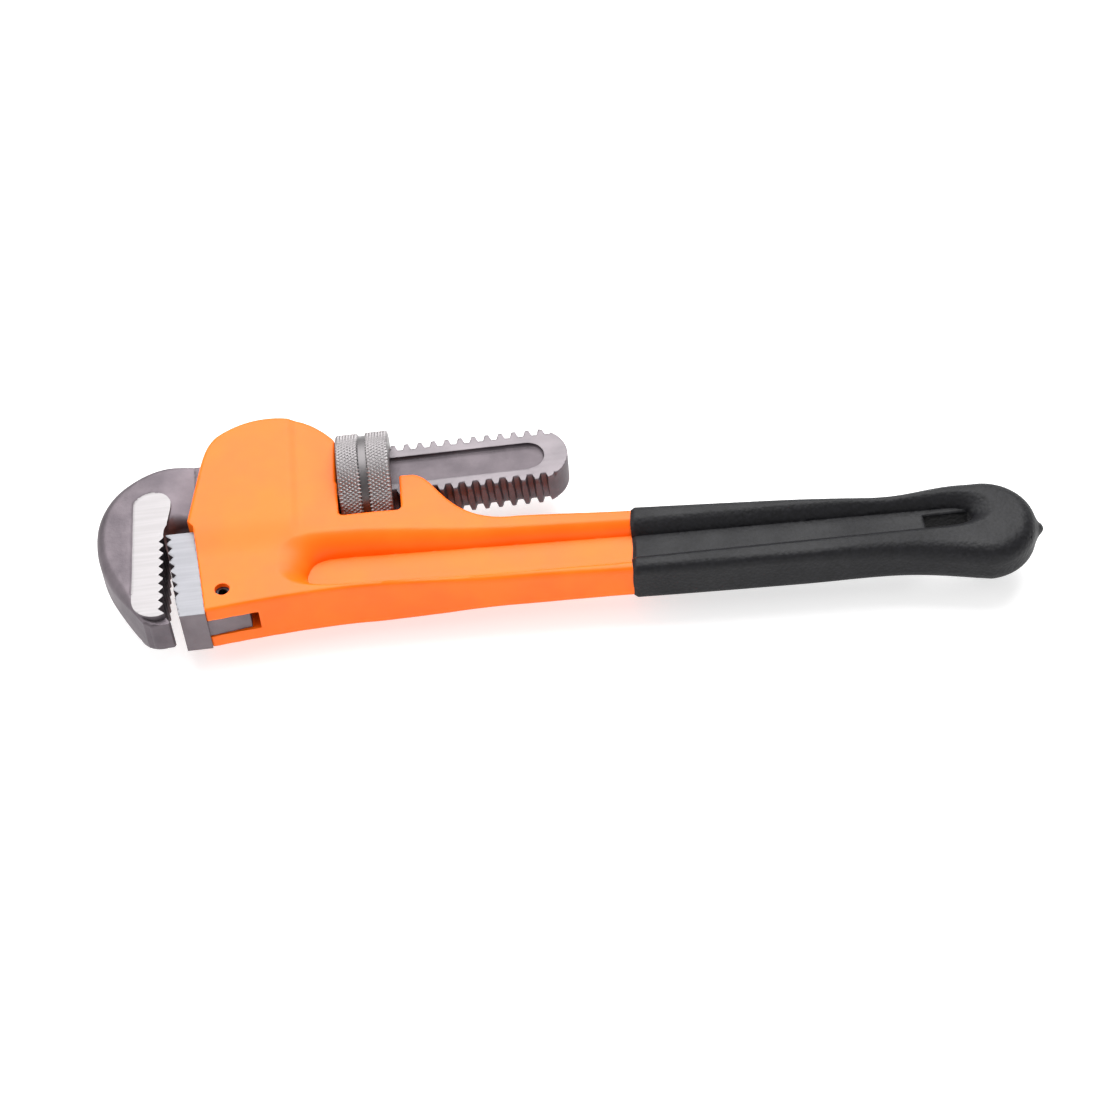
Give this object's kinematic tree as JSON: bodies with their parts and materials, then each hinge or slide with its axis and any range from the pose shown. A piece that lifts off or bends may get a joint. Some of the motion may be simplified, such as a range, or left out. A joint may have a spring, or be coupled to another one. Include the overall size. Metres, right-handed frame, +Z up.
{
  "type": "pipe wrench",
  "caption": "Straight pipe wrench with a cast I-beam handle, pinned heel jaw, sliding hook jaw on a threaded shank, knurled nut, springs and dipped grip, lying on its side.",
  "frame": {"origin": "under the middle of the whole wrench's box, on the surface that the nut's rim rests on when the wrench lies on its side with the jaws closed", "axes": "+X along the shank's axis from the jaws to the end of the handle, +Y from the jaw tips towards the back of the head, +Z up out of the broad face"},
  "size_m": [0.3864, 0.1186, 0.0442],
  "materials": {
    "orange_enamel": "satin",
    "black_vinyl": "matte, pebbled",
    "forged_steel": "dark forged, phosphated",
    "ground_steel": "ground flat",
    "nut_steel": "knurled, dull",
    "spring_steel": "oil tempered"
  },
  "bodies": {
    "handle": {"handle_body": "orange_enamel", "grip_sleeve": "black_vinyl", "heel_jaw": "ground_steel", "heel_jaw_pin": "spring_steel", "coil_spring": "spring_steel"},
    "spring_pack": {"flat_spring": "spring_steel", "spring_rivet": "spring_steel"},
    "jaw": {"hook_jaw": "forged_steel"},
    "nut": {"adjusting_nut": "nut_steel"}
  },
  "joints": [
    {"name": "jaw_rock", "type": "hinge", "parent": "handle", "child": "spring_pack", "pos_m": [-0.0804, 0.02665, 0.0221], "axis": [0, 0, -1], "range_deg": [0, 1.3], "stiffness_Nm_per_rad": 4, "springref_deg": -5.73, "deforming": ["coil_spring"]},
    {"name": "jaw_slide", "type": "slide", "parent": "spring_pack", "child": "jaw", "axis": [-1, 0, 0], "range_m": [0, 0.0635]},
    {"name": "nut_spin", "type": "hinge", "parent": "spring_pack", "child": "nut", "pos_m": [-0.0804, 0.02665, 0.0221], "axis": [1, 0, 0], "range_deg": [-1, 4012]}
  ],
  "couplings": [
    {"joint": "nut_spin", "follows": "jaw_slide", "rad_per_m": 1102.3}
  ]
}
